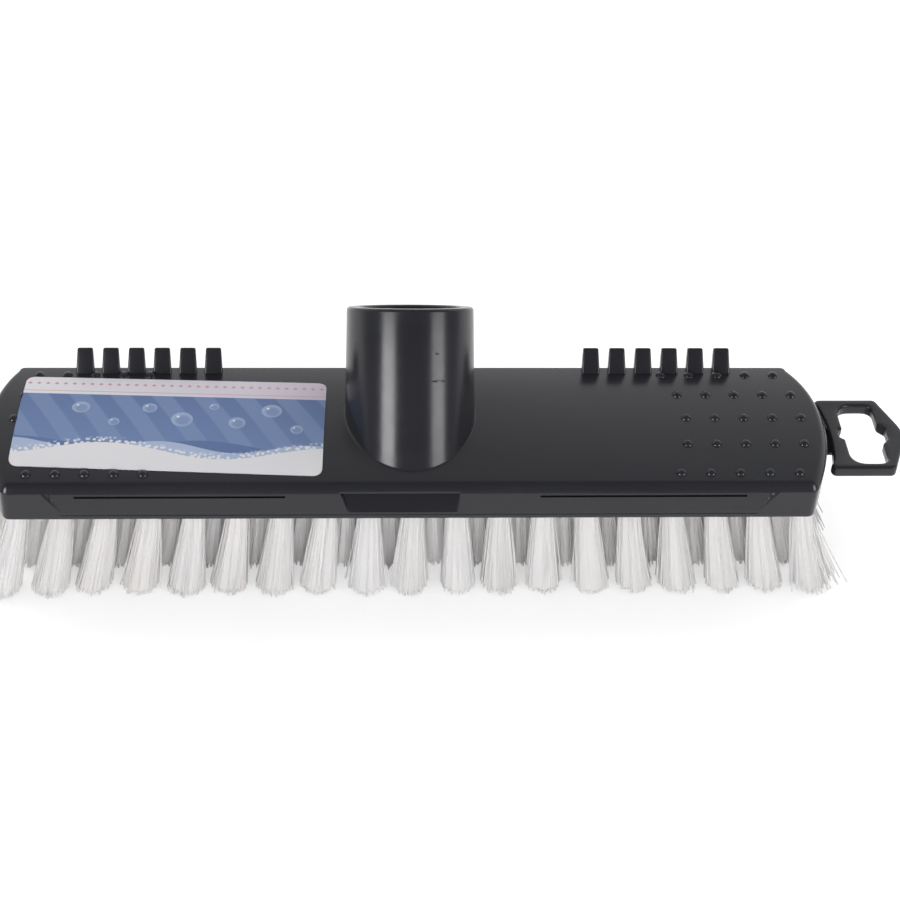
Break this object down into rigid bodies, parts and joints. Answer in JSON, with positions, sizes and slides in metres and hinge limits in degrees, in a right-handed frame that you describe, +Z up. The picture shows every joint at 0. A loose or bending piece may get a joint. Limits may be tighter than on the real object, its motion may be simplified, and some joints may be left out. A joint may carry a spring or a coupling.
{
  "type": "deck brush",
  "caption": "Deck scrubbing brush head: long arched block with a leaning handle socket, staggered rows of stiff bristles, cloth teeth, studs, a label and a hinged hanging tab.",
  "frame": {"origin": "middle of the brush's box, on the surface that the bristle tips stand on", "axes": "+X along the block to the hanging tab, +Y to the side that the handle socket leans to, +Z up"},
  "size_m": [0.259, 0.0617, 0.0759],
  "materials": {
    "block_plastic": "moulded foamed polypropylene, dark anthracite, satin with a fine grain and a few flow marks",
    "tab_plastic": "the block's moulded plastic, satin",
    "label_paper": null,
    "filament": "stiff white monofilament, slightly translucent"
  },
  "bodies": {
    "brush": {"brush_block": "block_plastic", "label": "label_paper", "bristle_row_1": "filament", "bristle_row_2": "filament", "bristle_row_3": "filament", "bristle_row_4": "filament", "bristle_row_5": "filament"},
    "tab": {"hanging_tab": "tab_plastic"}
  },
  "joints": [
    {"name": "tab_fold", "type": "hinge", "parent": "brush", "child": "tab", "pos_m": [0.10802, -0.00299, 0.03275], "axis": [0, -1, 0], "range_deg": [-50, 30], "stiffness_Nm_per_rad": 0.02}
  ]
}
